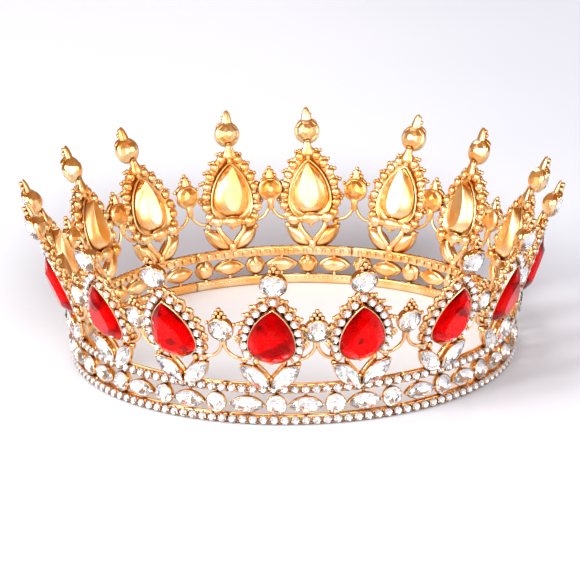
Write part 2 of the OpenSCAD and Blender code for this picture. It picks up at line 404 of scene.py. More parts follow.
def product(tree, a, b):
    node = addNode(tree, "ShaderNodeMath", operation="MULTIPLY")
    tree.links.new(a, node.inputs[0])
    tree.links.new(b, node.inputs[1])
    return node.outputs[0]


def someOf(tree, source, share, rest):
    # a share of the source on top of the rest
    node = addNode(tree, "ShaderNodeMath", {1: share}, operation="MULTIPLY_ADD")
    tree.links.new(source, node.inputs[0])
    tree.links.new(rest, node.inputs[2])
    return node.outputs[0]


def mixColors(tree, factor, a, b):
    mix = addNode(tree, "ShaderNodeMix", data_type="RGBA")
    tree.links.new(factor, mix.inputs["Factor"])
    for socket, value in ((mix.inputs[6], a), (mix.inputs[7], b)):  # its two colours
        if isinstance(value, tuple):
            socket.default_value = value
        else:
            tree.links.new(value, socket)
    return mix.outputs[2]


def newGroup(name, inputs, outputs):
    group = bpy.data.node_groups.new(name, "ShaderNodeTree")
    kind = "NodeSocketFloat"
    for key, value in inputs.items():
        socket = group.interface.new_socket(name=key, in_out="INPUT", socket_type=kind)
        socket.default_value = value
    for key in outputs:
        group.interface.new_socket(name=key, in_out="OUTPUT", socket_type=kind)
    return group, group.nodes.new("NodeGroupOutput")


def newMaterial(name, values):
    material = bpy.data.materials.new(name)
    material.use_nodes = True
    tree = material.node_tree
    return material, tree, inputsOf(tree.nodes["Principled BSDF"], values)


castFinishAndShade = {
    "grainScale": 2600.0,
    "grainDetail": 3.0,
    "grainRoughness": 0.6,
    "patchScale": 130.0,
    "patchDetail": 0.6,
    "patchRoughness": 0.5,
    "shadeReach": 1.4 * mm,
    "shadeSamples": 4,
    "paintedRecessShade": (0.92, 0.55),  # openness where the painted shade in hollows starts and is full; the next range is the darker painted shade
    "paintedDeepShade": (0.62, 0.25),
    "innerSide": (-0.05, -0.35),  # the same, for the outward share of the normal
}


def castSkinAndShadeGroup():
    # fine grain of a cast surface with plating, broad patches of tone, and ambient occlusion masks
    # of painted shade in its hollows
    look = castFinishAndShade
    scales = {"Grain Scale": look["grainScale"], "Patch Scale": look["patchScale"]}
    group, result = newGroup("castSkinAndShade", scales, ["Grain", "Patches", "Painted Recess Shade", "Deep"])
    given = group.nodes.new("NodeGroupInput")
    place = addNode(group, "ShaderNodeNewGeometry")
    for out, kind in (("Grain", "grain"), ("Patches", "patch")):
        noise = addNode(group, "ShaderNodeTexNoise", {
            "Detail": look[kind + "Detail"], "Roughness": look[kind + "Roughness"],
        })
        group.links.new(place.outputs["Position"], noise.inputs["Vector"])
        group.links.new(given.outputs[kind.title() + " Scale"], noise.inputs["Scale"])
        group.links.new(noise.outputs["Fac"], result.inputs[out])
    # painted shade: ambient occlusion marks the hollows and the tightest corners so that their
    # colour is darker
    nearby = addNode(group, "ShaderNodeAmbientOcclusion", {"Distance": look["shadeReach"]},
                     samples=look["shadeSamples"])
    for out, edges in (("Painted Recess Shade", look["paintedRecessShade"]), ("Deep", look["paintedDeepShade"])):
        group.links.new(mapped(group, nearby.outputs["AO"], edges), result.inputs[out])
    return group


def innerSideGroup():
    # 1 on surfaces that face the crown's axis, 0 on those that face outward
    group, result = newGroup("innerSide", {}, ["Mask"])
    place = addNode(group, "ShaderNodeNewGeometry")
    flat = addNode(group, "ShaderNodeVectorMath", {1: (1, 1, 0)}, operation="MULTIPLY")
    unit = addNode(group, "ShaderNodeVectorMath", operation="NORMALIZE")
    facing = addNode(group, "ShaderNodeVectorMath", operation="DOT_PRODUCT")
    group.links.new(place.outputs["Position"], flat.inputs[0])
    group.links.new(flat.outputs[0], unit.inputs[0])
    group.links.new(unit.outputs[0], facing.inputs[0])
    group.links.new(place.outputs["Normal"], facing.inputs[1])
    mask = mapped(group, facing.outputs["Value"], castFinishAndShade["innerSide"])
    group.links.new(mask, result.inputs["Mask"])
    return group


castSkinAndShade = castSkinAndShadeGroup()
innerSide = innerSideGroup()

gold = {
    "outside": (0.95, 0.67, 0.36, 1),
    "outsideWarm": (0.84, 0.46, 0.18, 1),
    "inside": (1.0, 0.79, 0.44, 1),
    "insideWarm": (0.97, 0.52, 0.15, 1),
    "patches": (0.35, 0.65),  # noise where the warm tone starts and is full
    # painted shade: brown in hollows and dark brown in the tightest corners
    "paintedRecessShade": (0.6, 0.24, 0.05, 1),
    "paintedDeepShade": (0.2, 0.06, 0.012, 1),
    "insideShare": 0.4,  # of the painted shade tones
    "polish": 0.08,  # roughness outside
    "satin": 0.3,  # and inside
    "grainRough": 0.08,
    "grainBump": 0.02 * mm,
    "bumpStrength": 0.6,
    "outsideGrain": 0.25,  # share of the bump
    "lacquer": 0.7,
    "lacquerIor": 1.55,
    "lacquerRough": 0.06,
}
# a darker, more orange copy of the gold for the backs of the between cups: painted shade
cupGoldPaintedShade = {**gold, "inside": (0.98, 0.52, 0.15, 1), "insideWarm": (0.88, 0.38, 0.08, 1)}


def goldMaterial(name, tones):
    material, tree, shader = newMaterial(name, {
        "Metallic": 1.0, "Coat Weight": tones["lacquer"], "Coat IOR": tones["lacquerIor"],
        "Coat Roughness": tones["lacquerRough"],
    })
    surface = addNode(tree, "ShaderNodeGroup", node_tree=castSkinAndShade).outputs
    inner = addNode(tree, "ShaderNodeGroup", node_tree=innerSide).outputs["Mask"]
    patches = mapped(tree, surface["Patches"], tones["patches"])
    outside = mixColors(tree, patches, tones["outside"], tones["outsideWarm"])
    inside = mixColors(tree, patches, tones["inside"], tones["insideWarm"])
    platedAndShaded = mixColors(tree, inner, outside, inside)
    share = mapped(tree, inner, toRange=(1.0, tones["insideShare"]))
    # painted shade: the base colour darkens in hollows, less on the inner side
    for mask, tone in (("Painted Recess Shade", "paintedRecessShade"), ("Deep", "paintedDeepShade")):
        platedAndShaded = mixColors(tree, product(tree, surface[mask], share), platedAndShaded, tones[tone])
    tree.links.new(platedAndShaded, shader.inputs["Base Color"])
    finish = mapped(tree, inner, toRange=(tones["polish"], tones["satin"]))
    rough = someOf(tree, surface["Grain"], tones["grainRough"], finish)
    tree.links.new(rough, shader.inputs["Roughness"])
    lift = mapped(tree, inner, toRange=(tones["outsideGrain"], 1.0))
    bump = addNode(tree, "ShaderNodeBump", {
        "Strength": tones["bumpStrength"], "Distance": tones["grainBump"],
    })
    tree.links.new(product(tree, surface["Grain"], lift), bump.inputs["Height"])
    tree.links.new(bump.outputs["Normal"], shader.inputs["Normal"])
    return material


# Glass of the stones and the foil behind it
clearLook = {
    "colour": (1.0, 1.0, 1.0, 1),
    "ior": 1.5,
    "shine": 0.5,
    "edge": (1.0, 1.0, 1.0, 1),
    "foil": (0.99, 0.99, 0.985, 1),
    "foilShade": (0.86, 0.87, 0.89, 1),
    "foilRough": (0.088, 0.22),
    "patchScale": 330.0,
    "patches": (0.53, 0.66),  # noise where the shade starts and is full
}
redLook = {
    "colour": (0.98, 0.0, 0.002, 1),
    "ior": 1.4,
    "shine": 0.1,
    "edge": (1.0, 0.03, 0.03, 1),
    "foil": (1.0, 0.004, 0.006, 1),
    "foilShade": (0.38, 0.0, 0.016, 1),
    "foilRough": (0.168, 0.42),
    "patchScale": 200.0,
    "patches": (0.58, 0.68),
}
wear = {"glassScale": 400.0, "glassNoise": (0.4, 0.7), "glassRough": 0.03, "foilScale": 900.0}


def glassMaterial(name, look):
    material, tree, shader = newMaterial(name, {
        "Base Color": look["colour"], "IOR": look["ior"], "Specular IOR Level": look["shine"],
        "Specular Tint": look["edge"], "Transmission Weight": 1.0,
    })
    scale = {"Grain Scale": wear["glassScale"]}
    surface = addNode(tree, "ShaderNodeGroup", scale, node_tree=castSkinAndShade).outputs
    rough = mapped(tree, surface["Grain"], wear["glassNoise"], (0.0, wear["glassRough"]))
    tree.links.new(rough, shader.inputs["Roughness"])
    return material


def foilMaterial(name, look):
    material, tree, shader = newMaterial(name, {"Metallic": 1.0, "Specular Tint": look["edge"]})
    scales = {"Grain Scale": wear["foilScale"], "Patch Scale": look["patchScale"]}
    surface = addNode(tree, "ShaderNodeGroup", scales, node_tree=castSkinAndShade).outputs
    patches = mapped(tree, surface["Patches"], look["patches"])
    tone = mixColors(tree, patches, look["foil"], look["foilShade"])
    tree.links.new(tone, shader.inputs["Base Color"])
    rough = mapped(tree, surface["Grain"], toRange=look["foilRough"])
    tree.links.new(rough, shader.inputs["Roughness"])
    return material


castMetal = [goldMaterial("castGold", gold), goldMaterial("cupBackGoldPaintedShade", cupGoldPaintedShade)]
clearGlass, redGlass = glassMaterial("clearGlass", clearLook), glassMaterial("redGlass", redLook)
clearStone = [clearGlass, foilMaterial("silverFoil", clearLook)]
redStone = [redGlass, foilMaterial("redFoil", redLook)]
print("materials made")


# Rails: two bands, each with a row of small stones
rail = {
    "height": 3.4 * mm,
    "thick": 2 * mm,
    "edge": 0.5 * mm,
    "heights": (0, 10.7 * mm),
    "steps": 40,
    "stones": 17,  # to a panel
    "stone": 2.8 * mm,
    # pads inside the upper rail: radius, height
    "pad": [
        (0, -0.3), (1.1, -0.3), (1.12, 0.35), (1.02, 0.62), (0.8, 0.78), (0.4, 0.84), (0, 0.86),
    ],
    "padStretch": 1.22,
    "seed": (0.55 * mm, 0.5 * mm, 0.4 * mm),  # low beads inside the lower rail
    "seedUp": 0.5 * mm,
    "seedShift": 0.25,  # of the distance between stones, to both sides
    "grip": 0.32 * mm,  # beads between the stones, above and below
    "gripUp": 0.95 * mm,
    "gripOut": 0.35 * mm,
}
stonePitch = panelAngle / rail["stones"]
railAngles = [(i - (rail["stones"] - 1) / 2) * stonePitch for i in range(rail["stones"])]
railPlaces = [onRing(at, z + rail["height"] / 2) for z in rail["heights"] for at in railAngles]

# Collet round a small stone: radius, height
collet = [
    (0, -0.3), (1.46, -0.3), (1.52, 0.1), (1.52, 0.52), (1.46, 0.62), (1.4, 0.56), (1.38, 0),
    (0, 0),
]
colletShape = lathe([(r * mm, z * mm) for r, z in collet], sides["turned"])


def railParts():
    edge, thick, height = rail["edge"], rail["thick"], rail["height"]
    section = []
    for cx, cz, start in ((1, 1, 0), (-1, 1, 90), (-1, -1, 180), (1, -1, 270)):
        x, z = cx * (thick / 2 - edge), cz * (height / 2 - edge)
        turns = [radians(start + a) for a in (0, 45, 90)]
        section += [(x + edge * cos(t), z + edge * sin(t)) for t in turns]
    half = panelAngle / 2 - degrees(crown["seam"] / crown["ringR"]) / 2
    reach = crown["ringR"] - thick / 2
    shapes = []
    for level in [z + height / 2 for z in rail["heights"]]:
        rows = []
        for k in range(rail["steps"] + 1):
            a = radians(half * (2 * k / rail["steps"] - 1))
            row = [((reach + x) * sin(a), -(reach + x) * cos(a), level + z) for x, z in section]
            rows.append(row)
        shapes.append(skin(rows))
    shapes += [placed(colletShape, place) for place in railPlaces]
    pad = lathe([(r * mm, z * mm) for r, z in rail["pad"]], sides["turned"])
    pad["points"][:, 1] *= rail["padStretch"]
    for at in railAngles:
        place = onRing(at, rail["heights"][1] + height / 2) @ moved(0, 0, -thick)
        shapes.append(placed(pad, place @ Matrix.Rotation(pi, 4, "Y")))
    seed = ball(*rail["seed"])
    for at in railAngles:
        for side in halves:
            place = onRing(at + side * rail["seedShift"] * stonePitch, height / 2)
            shapes.append(placed(seed, place @ moved(0, rail["seedUp"], -thick)))
    grip = ball(rail["grip"], count=sides["grip"])
    for z in rail["heights"]:
        for at in railAngles[:-1]:
            for side in halves:
                place = onRing(at + stonePitch / 2, z + height / 2)
                beside = moved(0, side * rail["gripUp"], rail["gripOut"])
                shapes.append(placed(grip, place @ beside))
    return shapes


# Row between the rails: navettes and round stones in turn
band = {
    "z": 7.05 * mm,
    "out": -0.2 * mm,
    "first": -17.35,  # degrees
    "pitch": 7.4,
    "kinds": 6,
    "navette": (11.3 * mm, 5.2 * mm),
    "round": 6.4 * mm,
    "tipBead": 0.42 * mm,
    # wires: up, out, radius
    "strut": [(2.55, -0.8, 0.496), (2.9, -0.8, 0.62), (4.0, -0.8, 0.62), (4.4, -0.8, 0.372)],
    "point": [
        (1.2, -2.3, 0.8), (1.9, -2.15, 1.15), (2.7, -1.85, 0.95), (3.6, -1.5, 0.6),
        (4.2, -1.3, 0.45),
    ],
    "foot": [(-4.2, -1.2, 0.5), (-3.8, -1.2, 0.7), (-3.2, -1.2, 0.8)],
}


def onBand(i):
    return onRing(band["first"] + i * band["pitch"], band["z"], 0, band["out"])


def bandParts():
    navette = [setting(ovalOutline(band["navette"]), ovalCup)]
    navette += [wire([(side * y, z, r) for y, z, r in band["strut"]]) for side in halves]
    navette += tipBeads(band["navette"][0], band["tipBead"])
    # a point on the back of each round cup that reaches up to the rail, and a foot below
    roundOne = [setting(roundOutline(band["round"]), smallCup)]
    roundOne += [wire(band["point"], sides["stem"]), wire(band["foot"])]
    kinds = [joined(navette), joined(roundOne)]
    return [placed(kinds[i % 2], onBand(i)) for i in range(band["kinds"])]


# Pair of leaves under each pear
leaf = {
    "z": 12.4 * mm,
    "lean": 9,
    "out": 0.3 * mm,
    "slope": 42,
    "middle": (5 * mm, 4.9 * mm),
    "size": (12.3 * mm, 5.3 * mm),
    "tipBead": 0.45 * mm,
    # strip behind a leaf, from its foot to the bar under the pear: across, up, out, radius
    "strip": [
        (0.3, 2.6, -1.5, 0.5), (0.9, 3.6, -1.7, 1.05), (2.0, 5.0, -1.8, 1.05),
        (3.3, 6.6, -1.8, 1.05), (4.3, 8.1, -1.6, 1.05), (4.7, 9.4, -1.2, 1.05),
        (4.4, 10.4, -0.8, 1.05), (4.2, 10.9, -0.6, 0.6),
    ],
    "stem": [(0.6, -1.6, 1.2), (1.2, -1.6, 1.5), (3.2, -1.6, 1.35), (4.0, -1.6, 0.8)],
}


def onLeaves(at):
    return onRing(at, leaf["z"], leaf["lean"], leaf["out"])


def onLeaf(at, side):
    x, y = leaf["middle"]
    return onLeaves(at) @ moved(side * x, y) @ turned(side * leaf["slope"])


def leafParts(at):
    cast = [setting(ovalOutline(leaf["size"]), ovalCup)]
    cast += tipBeads(leaf["size"][0], leaf["tipBead"])
    shapes = [placed(joined(cast), onLeaf(at, side)) for side in halves]
    # strips that leave a heart shaped opening, on a short stem
    for side in halves:
        shapes.append(placed(wire(leaf["strip"], sides["stem"], side), onLeaves(at)))
    return shapes + [placed(wire(leaf["stem"], sides["stem"]), onLeaves(at))]


# Plate round each pear, with its stones, picots and bead clusters
halo = {
    "inner": 0.3 * mm,
    "outer": 2.6 * mm,
    "swell": 1.0 * mm,  # wider towards the tip
    "swellCurve": 1.2,
    "endShare": 0.35,  # of the width at its two ends
    "endRise": 3,
    "back": -1.0 * mm,
    "front": 0.5 * mm,
    "edge": 0.35 * mm,
    "bevel": [(0.1, 0.6), (0.9, 0)],  # in from the outer edge, down from the front
    "trough": [(1.2, 0), (0.95, 0.1), (0.7, 0.4), (0.3, 0.4)],  # out from the pear, down
    "from": -0.095,  # turn of the pear's outline
    "steps": 56,
    "topStone": 30.7 * mm,
    # stones on one side: across, up
    "stones": [
        (2.95, 28.2), (5.4, 25.3), (7.25, 22.0), (8.5, 18.5), (9.1, 15.0), (9.1, 11.4), (8.1, 8.0),
    ],
    "middle": 14,  # height that knobs and picots point away from
    "knob": (1.7 * mm, 1.75 * mm, 1.2 * mm),
    "knobOut": 0.4 * mm,
    # picots: across and up of the inner and of the outer bead
    "picots": [
        ((3.0, 30.8), (4.4, 30.6)), ((5.8, 27.6), (7.2, 27.3)),
        ((8.1, 24.1), (9.4, 23.7)), ((9.9, 20.2), (11.1, 19.7)),
    ],
    "picotOut": 0.1 * mm,
    "picotBeads": (0.82 * mm, 0.75 * mm),
    "picotBar": (1.0 * mm, 0.72 * mm, 0.5 * mm),
    "picotRoot": 0.84,  # share of the way from the middle
    "picotBack": -0.3 * mm,
    "cluster": [
        (9.9, 14.5), (11.1, 14.4), (9.9, 12.8), (11.1, 12.7), (11.7, 13.6), (10.6, 13.6),
    ],
    "clusterBead": (1.5, 0.3),  # diameter, out
    "clusterBar": [(9.2, 13.6, -0.3, 1.1), (11.0, 13.6, -0.1, 0.9)],  # across, up, out, radius
}
haloFace = moved(0, 0, halo["front"])
haloPlaces = [moved(0, halo["topStone"])]
haloPlaces += [moved(side * x * mm, y * mm) for x, y in halo["stones"] for side in halves]


def picot(side, inner, outer):
    # two beads side by side on a short bar from the plate
    ends = [(side * x * mm, y * mm, halo["picotOut"]) for x, y in (inner, outer)]
    middle, share = halo["middle"] * mm, halo["picotRoot"]
    root = (ends[0][0] * share, middle + (ends[0][1] - middle) * share, halo["picotBack"])
    bar = tube([root, *ends], halo["picotBar"], sides["bar"])
    return [bar] + [placed(ball(r), moved(*end)) for r, end in zip(halo["picotBeads"], ends)]


def haloParts():
    rows = []
    back, front, edge = halo["back"], halo["front"], halo["edge"]
    reach = 0.5 - 2 * halo["from"]
    for k in range(halo["steps"] + 1):
        share = sin(pi * k / halo["steps"])
        outer = halo["outer"] * min(1, halo["endShare"] + halo["endRise"] * share)
        outer += halo["swell"] * share ** halo["swellCurve"]
        # back, rounded outer edge, flat under the stones and a trough beside the pear
        section = [(halo["inner"], back), (outer - edge, back), (outer, back + edge)]
        section += [(outer - x * mm, front - z * mm) for x, z in halo["bevel"]]
        section += [(x * mm, front - z * mm) for x, z in halo["trough"]]
        turn = halo["from"] + reach * k / halo["steps"]
        rows.append([(*pearPoint(turn, margin), z) for margin, z in section])
    shapes = [placed(skin(rows), pearPlace)]
    shapes += [placed(colletShape, haloFace @ place) for place in haloPlaces]
    knob = ball(*halo["knob"], sides["knob"])
    for x, y in [(side * x, y) for x, y in halo["stones"] for side in halves]:
        away = -degrees(atan2(x, y - halo["middle"]))
        place = moved(x * mm, y * mm, back) @ turned(away) @ moved(0, halo["knobOut"])
        shapes.append(placed(knob, place))
    d, out = halo["clusterBead"]
    for side in halves:
        for inner, outer in halo["picots"]:
            shapes += picot(side, inner, outer)
        shapes += [beadAt(side * x, y, d, out) for x, y in halo["cluster"]]
        shapes.append(wire(halo["clusterBar"], side=side))
    return shapes


# Hood and back of the round cups, and the claw under a stone
hood = {
    "out": 0.3 * mm,
    "thick": 0.45 * mm,
    "z": 1.15 * mm,
    "stretch": 2,  # from back to front
    "ends": [0.15, 0.5, 0.75, 0.9],  # shares of its thickness
    "steps": 20,
}
cupDome = {
    "sides": 8,
    "facets": [(1.0, 0.28), (1.0, 0.4), (0.66, 0.8), (0.24, 1.0)],  # share of radius, of depth
    "skirt": [(0, -0.9), (1.0, -0.9), (1.05, -1.1), (1.03, -1.35), (0.94, -1.45), (0, -1.4)],
}
# Claw: out from the stone, height, radius
claw = [
    (0.3, -0.9, 0.078), (0.36, -0.8, 0.26), (0.38, 0.6, 0.26), (0.3, 1.15, 0.26),
    (0.02, 1.42, 0.26), (-0.3, 1.5, 0.208), (-0.45, 1.48, 0.052),
]


def hoodOver(d, foot):
    # an arc of wire over the top of a round stone, drawn out to the front
    r, steps, ends = d / 2 + hood["out"], hood["steps"], hood["ends"]
    start = degrees(asin(foot / r))
    swell = ends + [1] * (steps + 1 - 2 * len(ends)) + ends[::-1]
    arc = arcPath(0, 0, r, start, 180 - start, steps)
    arch = tube(arc, [hood["thick"] * k for k in swell], sides["stem"])
    return flattened(arch, hood["stretch"], hood["z"])


def facetBack(r, depth, tone=0):
    # dome of two rows of facets on a low round skirt; tone is the slot of its gold, 1 being the
    # darker copy with painted shade
    turns = [2 * pi * (i + 0.5) / cupDome["sides"] for i in range(cupDome["sides"])]
    rows = []
    for share, height in cupDome["facets"]:
        rows.append([(share * r * cos(t), share * r * sin(t), -height * depth) for t in turns])
    dome = skin(rows)
    dome.update(smooth=[False] * len(dome["faces"]), slots=[tone] * len(dome["faces"]))
    skirt = [(share * r, z * mm) for share, z in cupDome["skirt"]]
    return joined([dome, lathe(skirt, sides["skirt"])])


def clawOn(r, at):
    path = [(r + x * mm, 0, z * mm) for x, z, thick in claw]
    return placed(tube(path, [thick * mm for x, z, thick in claw]), turned(at))


# Spires
spire = {
    "lean": 22.3,
    "z": 18 * mm,
    "out": -0.8 * mm,
    "topStone": 8.6 * mm,
    "topPlace": (0, 37.8 * mm, 0.5 * mm),
    "topBack": (3.95 * mm, 3.5 * mm),  # radius, depth
    "hoodFoot": 2.6 * mm,
    "footBeads": [(7.5, 6.0, 2.7, -0.2), (8.7, 4.4, 2.4, 0)],  # across, up, diameter, out
    # bar under the pear: across, up, out, radius
    "bar": [
        (-7.2, 6.0, -2.0, 0.5), (-6.5, 6.0, -2.0, 1.2), (6.5, 6.0, -2.0, 1.2),
        (7.2, 6.0, -2.0, 0.5),
    ],
    # its bumps: across, up, out, half width, half height, half depth
    "bumps": [
        (-6.2, 6.0, -2.6, 2.3, 2.0, 1.4), (0, 6.0, -2.6, 3.5, 2.15, 1.4),
        (6.2, 6.0, -2.6, 2.3, 2.0, 1.4),
    ],
    "link": (0, 4.1, -2.0, 0.9, 1.3, 0.9),
    "linkBead": (0, 4.3, 1.5, 0.4),
    # neck and the flat web that widens to the halo: up, out, radius
    "neck": [
        (27, -0.8, 0.9), (27.5, -0.8, 1.1), (31.6, -0.8, 1.1), (32.8, -0.2, 1.15), (34, 0, 1.1),
        (34.5, 0, 0.9),
    ],
    "web": [
        (28.6, 0, 1.8), (29.4, 0, 2.5), (30.6, 0, 2.3), (31.8, 0, 1.7), (33.2, 0, 1.2),
        (34.4, 0, 0.9),
    ],
    "webFlat": (0.36, -1.6 * mm),
    "flame": [
        (40.6, 0, 1.6), (41.4, 0, 1.95), (42.6, 0, 1.9), (43.8, 0, 1.65), (44.8, 0, 1.4),
        (45.6, 0, 1.1), (46.3, 0, 0.65), (46.7, 0, 0.1),
    ],
    "flameFlat": (0.5, 0.1 * mm),
    # finial: across, up, diameter
    "finial": [
        (-2.1, 41.3, 1.5), (-0.8, 42.2, 1.6), (0.8, 42.2, 1.6), (2.1, 41.3, 1.5),
        (-1.15, 43.9, 1.6), (1.15, 43.9, 1.6), (0, 44.0, 1.3), (0, 45.2, 1.9),
    ],
    "finialOut": 1.3,
}
topPlace = moved(*spire["topPlace"])


def onSpire(at):
    reach = crown["ringR"] + spire["out"]
    foot = reach * cos(radians(at))
    lean = Matrix.Rotation(radians(spire["lean"]), 4, "X")
    leant = moved(0, -foot, spire["z"]) @ lean @ moved(0, foot)
    return leant @ turned(at) @ moved(0, -reach) @ Matrix.Rotation(pi / 2, 4, "X")


def spireParts():
    shapes = haloParts()
    shapes += [placed(setting(pearOutline(), pearCup), pearPlace), placed(pearBack(), pearPlace)]
    for side in halves:
        shapes += [beadAt(side * x, y, d, out) for x, y, d, out in spire["footBeads"]]
    shapes += [eggAt(*bump, sides["bump"]) for bump in spire["bumps"]]
    bar, neck = wire(spire["bar"], sides["stem"]), wire(spire["neck"], sides["stem"])
    web = flattened(wire(spire["web"], sides["web"]), *spire["webFlat"])
    shapes += [bar, eggAt(*spire["link"]), beadAt(*spire["linkBead"]), neck, web]
    top = [setting(roundOutline(spire["topStone"]), cup), facetBack(*spire["topBack"])]
    top.append(hoodOver(spire["topStone"], spire["hoodFoot"]))
    shapes.append(placed(joined(top), topPlace))
    shapes.append(flattened(wire(spire["flame"], sides["web"]), *spire["flameFlat"]))
    return shapes + [beadAt(x, y, d, spire["finialOut"]) for x, y, d in spire["finial"]]


# Lower elements between the spires
between = {
    "z": 16 * mm,
    "lean": 14,
    "out": 0.2 * mm,
    "stone": 8 * mm,
    "stoneY": 18.6 * mm,
    "back": (3.65 * mm, 3.3 * mm),  # radius, depth
    "hoodFoot": 1.6 * mm,
    "clawAt": 270,
    # beads on top: across, up, diameter
    "trefoil": [
        (-1.8, 4.9, 1.7), (0, 5.0, 1.8), (1.8, 4.9, 1.7), (-0.9, 6.3, 1.7), (0.9, 6.3, 1.7),
        (0, 7.6, 1.6),
    ],
    "trefoilOut": 0.55,
    "sideBead": (4.6, 2.2, 1.4, 0.4),  # across, up, diameter, out
    # wires: up, out, radius
    "tip": [
        (3.0, 0, 1.6), (4.2, 0, 1.6), (5.4, 0, 1.25), (6.4, 0, 0.85), (7.1, 0, 0.45),
        (7.5, 0, 0.08),
    ],
    "tipFlat": (0.5, -0.3 * mm),
    "stem": [(12.6, 0, 0.4), (13.2, 0, 0.62), (14.2, 0, 0.65), (15.4, 0, 0.8)],
    "backStem": [(11.2, -0.9, 0.7), (11.6, -0.9, 1.15), (14.8, -0.9, 1.2), (15.4, -0.9, 1.0)],
    "backStemFlat": (0.55, -0.3 * mm),
    "arm": (6.15 * mm, 13.3 * mm, 5.7 * mm, 168, 296, 20),  # middle, radius, start, end, steps
    "armWire": 0.6 * mm,
}
betweenPlace = moved(0, between["stoneY"])


def onBetween(at):
    return onRing(at, between["z"], between["lean"], between["out"])


def betweenParts():
    d = between["stone"]
    # its back takes the darker gold copy, painted shade
    cast = [setting(roundOutline(d), cup), facetBack(*between["back"], 1)]
    cast += [hoodOver(d, between["hoodFoot"]), clawOn(d / 2, between["clawAt"])]
    cast += [beadAt(x, y, size, between["trefoilOut"]) for x, y, size in between["trefoil"]]
    x, y, size, out = between["sideBead"]
    cast += [beadAt(side * x, y, size, out) for side in halves]
    cast.append(flattened(wire(between["tip"], sides["tip"]), *between["tipFlat"]))
    shapes = [placed(joined(cast), betweenPlace), wire(between["stem"], sides["stem"])]
    backStem = wire(between["backStem"], sides["stem"])
    shapes.append(flattened(backStem, *between["backStemFlat"]))
    for side in halves:
        path = [(side * x, y, z) for x, y, z in arcPath(*between["arm"])]
        shapes.append(tube(path, [between["armWire"]] * len(path), sides["stem"]))
    return shapes


# Pieces of the crown
def makePiece(name, shape, materials, replaced=()):
    mesh = bpy.data.meshes.new(name)
    mesh.from_pydata(shape["points"].tolist(), [], shape["faces"])
    for material in materials:
        mesh.materials.append(material)
    mesh.polygons.foreach_set("material_index", shape["slots"])
    mesh.polygons.foreach_set("use_smooth", shape["smooth"])
    bm = bmesh.new()
    bm.from_mesh(mesh)
    bmesh.ops.recalc_face_normals(bm, faces=bm.faces)
    bm.to_mesh(mesh)
    bm.free()
    piece = bpy.data.objects.new(name, mesh)
    bpy.context.scene.collection.objects.link(piece)
    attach(piece, "root")
    if replaced:
        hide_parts(*replaced)


def makeField(name, stone, places, replaced=()):
    # the same clear stone at these places of every panel
    field = everyPanel(joined([placed(stone, place) for place in places]))
    makePiece(name, field, clearStone, replaced)


pearShape = cutStone(pearOutline(pearCut["steps"])(0), pearCut)
topShape = roundStone(spire["topStone"])
for s in range(2 * crown["panels"]):
    place = turned(s // 2 * panelAngle) @ onSpire(spireAngles[s % 2])
    red, top = placed(pearShape, place @ pearPlace), placed(topShape, place @ topPlace)
    makePiece(f"pearGlass_{s + 1}", red, redStone, [f"pear_stone_{s + 1}"])
    makePiece(f"topGlass_{s + 1}", top, clearStone, [f"top_stone_{s + 1}"])

betweenStones = [onBetween(at) @ betweenPlace for at in betweenAngles]
makeField("betweenGlass", roundStone(between["stone"]), betweenStones, ["between_stones"])
leafStones = [onLeaf(at, side) for at in spireAngles for side in halves]
makeField("leafGlass", ovalStone(leaf["size"]), leafStones, ["leaf_stones"])
navettes, rounds = [[onBand(i) for i in range(start, band["kinds"], 2)] for start in (0, 1)]
makeField("navetteGlass", ovalStone(band["navette"]), navettes, ["navette_stones"])
makeField("bandRoundGlass", roundStone(band["round"]), rounds, ["band_round_stones"])

# the finest stones, in the rails and round the pears
smallStone = roundStone(rail["stone"], smallCut)
makeField("railGlass", smallStone, railPlaces)
haloStones = [onSpire(at) @ haloFace @ place for at in spireAngles for place in haloPlaces]
makeField("haloGlass", smallStone, haloStones)
print("stones set")

metal = railParts() + bandParts()
for at in spireAngles:
    metal += leafParts(at) + [placed(shape, onSpire(at)) for shape in spireParts()]
for at in betweenAngles:
    metal += [placed(shape, onBetween(at)) for shape in betweenParts()]
panelShape = joined(metal)
for p in range(crown["panels"]):
    shape = placed(panelShape, turned(p * panelAngle))
    makePiece(f"castPanel_{p + 1}", shape, castMetal, [f"crown_panel_{p + 1}"])
print("panels cast,", len(panelShape["faces"]), "faces each")


# Floor, light and camera
studio = {
    "floor": (0.88, 0.885, 0.92, 1),
    # painted shade on the right side of the floor, and a painted shadow behind the crown
    "floorShade": (0.79, 0.795, 0.86, 1),
    "floorPaintedShadow": (0.5, 0.465, 0.485, 1),  # painted shadow behind the crown
    "floorRough": 0.55,
    "floorShine": 0.3,
    "floorPatches": 9.0,
    "floorUneven": 0.08,
    "floorSize": 12.0,
    "shadeAcross": (0.04, 0.22),  # x where the painted shade starts and is full
    "behindFrom": (0.0, 0.085),  # y where the painted shadow starts and is full
    "behindWide": (0.115, 0.045),  # and the same to both sides
    "behindInner": (0.07, 0.082),  # and in distance from the crown's axis
    "behindOuter": (0.26, 0.115),
    "horizon": (0.84, 0.83, 0.86, 1),
    "zenith": (0.15, 0.15, 0.17, 1),
    "zenithRise": (0.0, 0.7),
    "mirrored": (0.42, 0.185, 0.06, 1),  # the zenith as the metal mirrors it
    "backdrop": (0.28, 0.135, 0.04, 1),  # and the sides and back of the room
    "backdropFar": (-0.6, 0.2),
    "key": {"place": (-1.9, -1.1, 1.3), "size": 1.3, "power": 52.0},
    "front": {"place": (0.25, -2.35, 1.25), "size": 2.1, "power": 45.0},
    "fill": {"place": (1.9, -0.7, 0.9), "size": 0.9, "power": 7.0},
    "back": {"place": (-0.2, 1.7, 1.5), "size": 1.0, "power": 7.0},
    "above": {"place": (-0.6, -0.3, 2.2), "size": 2.0, "power": 18.0},
}


